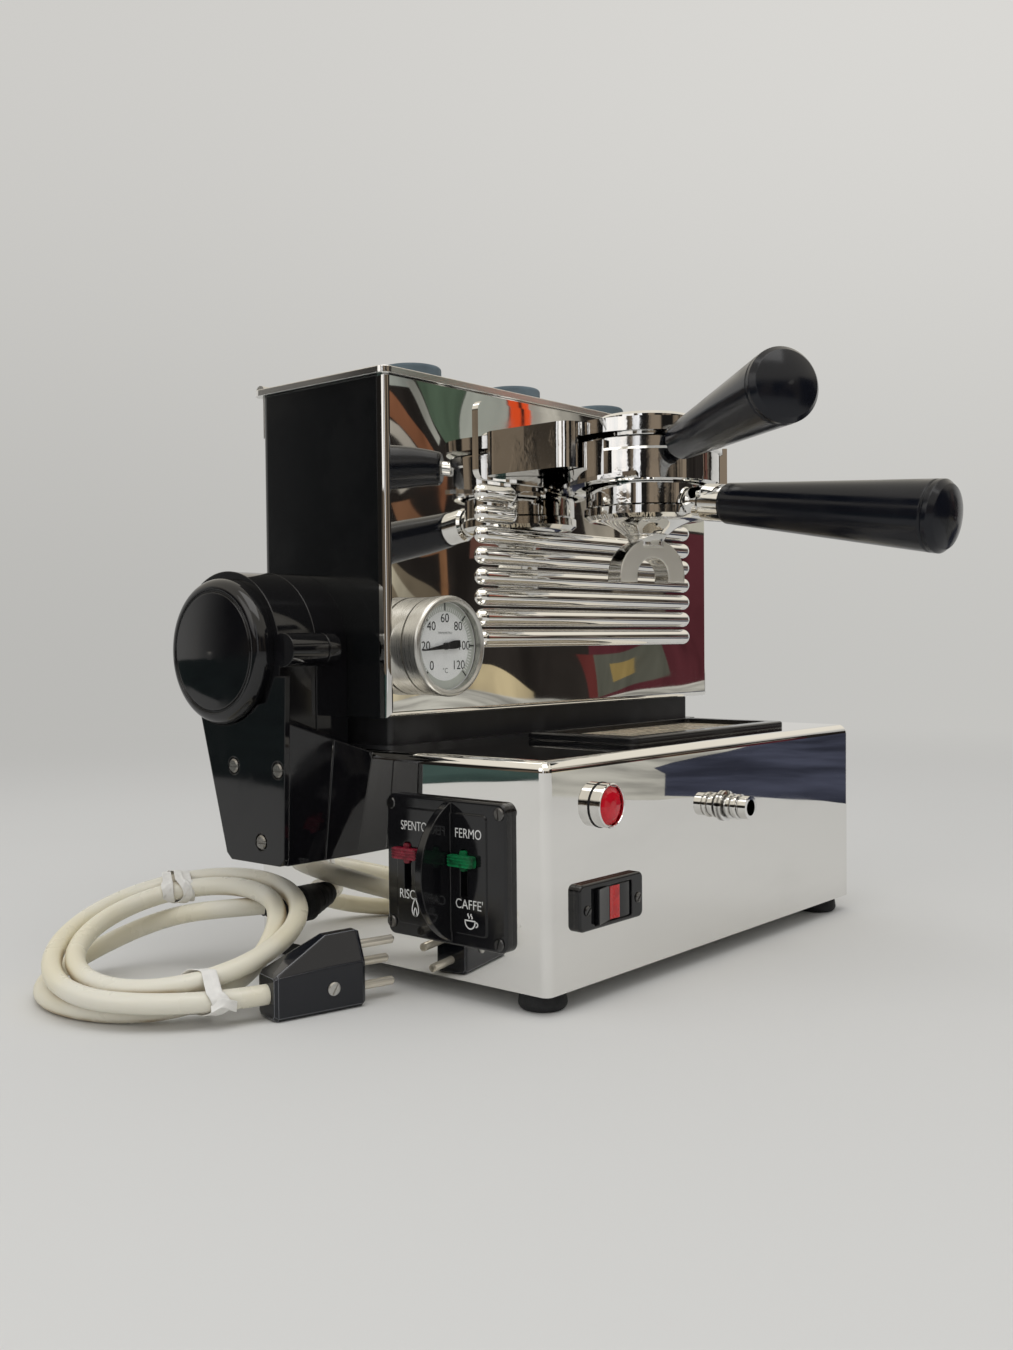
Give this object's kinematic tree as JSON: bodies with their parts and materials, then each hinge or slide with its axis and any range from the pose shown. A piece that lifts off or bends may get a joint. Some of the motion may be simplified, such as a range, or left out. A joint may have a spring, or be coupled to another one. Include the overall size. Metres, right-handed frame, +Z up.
{
  "type": "espresso machine",
  "caption": "Small espresso machine: polished steel base and ribbed front, twist-lock group with black grips, side pump motor, dial thermometer, drip tray and coiled mains cord.",
  "frame": {"origin": "on the floor under the middle of the machine's box without the cord", "axes": "+X to the right along the front, +Y from the user to the back, +Z up"},
  "size_m": [0.4218, 0.3485, 0.2984],
  "materials": {
    "polished_steel": "mirror polished stainless steel sheet",
    "chrome": "bright chrome plate",
    "black_gloss": "glossy black moulding",
    "black_enamel": "gloss black enamel",
    "black_matt": "satin black",
    "rubber": "matt black rubber",
    "grey_rubber": "blue-grey rubber",
    "steel": "satin steel",
    "copper": "bare copper",
    "brass": "bare brass",
    "dial": "printed pale dial",
    "needle": "black paint",
    "glass": "clear glass",
    "red_lens": "translucent red lens",
    "red_plastic": "red moulding",
    "green_plastic": "green moulding",
    "gasket": "black rubber gasket",
    "cord": "cream cord sheath",
    "tape": "white tape",
    "nickel": "nickel-plated pins",
    "tank": "pale tank plastic"
  },
  "bodies": {
    "machine": {"base_housing": "polished_steel", "base_plate": "steel", "boiler": "copper", "boiler_casing": "black_enamel", "control_plate": "black_gloss", "control_switches": "black_matt", "cord_coil": "cord", "cord_gland": "rubber", "cord_lead": "cord", "cord_ties": "tape", "front_panel": "polished_steel", "gauge_case": "steel", "gauge_dial": "dial", "gauge_glass": "glass", "gauge_probe": "steel", "group_arm": "chrome", "group_gasket": "gasket", "group_head": "chrome", "group_pipe": "copper", "heating_element": "steel", "hose_barb": "chrome", "lid_hinges": "steel", "motor_end_cap": "black_gloss", "motor_housing": "black_gloss", "motor_shell": "black_gloss", "motor_stator": "steel", "panel_screws": "steel", "pilot_bezel": "chrome", "pilot_lens": "red_lens", "plinth": "black_matt", "plug_body": "black_gloss", "plug_pins": "nickel", "plug_screw": "steel", "pump_head": "brass", "pump_pipes": "copper", "rubber_feet": "rubber", "shower_screen": "steel", "switch_body": "black_matt", "switch_plate": "black_gloss", "terminal_block": "tank", "terminal_cover": "black_gloss", "terminal_screws": "steel", "water_tank": "tank"},
    "filter_holder": {"filter_holder": "chrome", "filter_basket": "steel", "filter_neck": "chrome", "filter_grip": "black_gloss", "twin_spout": "steel"},
    "clamp_ring": {"clamp_ring": "chrome", "clamp_neck": "chrome", "clamp_grip": "black_gloss"},
    "heating_slider": {"heating_slider": "red_plastic"},
    "coffee_slider": {"coffee_slider": "green_plastic"},
    "switch_rocker": {"switch_rocker": "black_gloss"},
    "gauge_needle": {"gauge_needle": "needle"},
    "lid": {"top_lid": "polished_steel", "lid_buffers": "grey_rubber"},
    "drip_tray": {"drip_tray": "black_matt"},
    "drip_grid": {"drip_grid": "steel"},
    "motor_rotor": {"motor_rotor": "steel"}
  },
  "joints": [
    {"name": "filter_holder_turn", "type": "hinge", "parent": "machine", "child": "filter_holder", "pos_m": [0.0322, 0.01206, 0.2492], "axis": [0, 0, 1], "range_deg": [-45, 0]},
    {"name": "clamp_ring_turn", "type": "hinge", "parent": "machine", "child": "clamp_ring", "pos_m": [0.0322, 0.01206, 0.2645], "axis": [0, 0, 1], "range_deg": [0, 55]},
    {"name": "heating_slide", "type": "slide", "parent": "machine", "child": "heating_slider", "axis": [0, 0, -1], "range_m": [0, 0.012]},
    {"name": "coffee_slide", "type": "slide", "parent": "machine", "child": "coffee_slider", "axis": [0, 0, -1], "range_m": [0, 0.012]},
    {"name": "rocker_tilt", "type": "hinge", "parent": "machine", "child": "switch_rocker", "pos_m": [-0.0747, -0.03944, 0.044], "axis": [0, 0, 1], "range_deg": [0, 14]},
    {"name": "needle_turn", "type": "hinge", "parent": "machine", "child": "gauge_needle", "pos_m": [-0.0928, 0.04406, 0.159], "axis": [0, -1, 0], "range_deg": [-225, 43]},
    {"name": "lid_hinge", "type": "hinge", "parent": "machine", "child": "lid", "pos_m": [0.0237, 0.15036, 0.2902], "axis": [-1, 0, 0], "range_deg": [0, 100]},
    {"name": "drip_tray_lift", "type": "slide", "parent": "machine", "child": "drip_tray", "axis": [0, 0, 1], "range_m": [0, 0.05]},
    {"name": "drip_grid_lift", "type": "slide", "parent": "drip_tray", "child": "drip_grid", "axis": [0, 0, 1], "range_m": [0, 0.02]},
    {"name": "rotor_spin", "type": "hinge", "parent": "machine", "child": "motor_rotor", "pos_m": [-0.1478, 0.12206, 0.1575], "axis": [-1, 0, 0], "continuous": true}
  ]
}
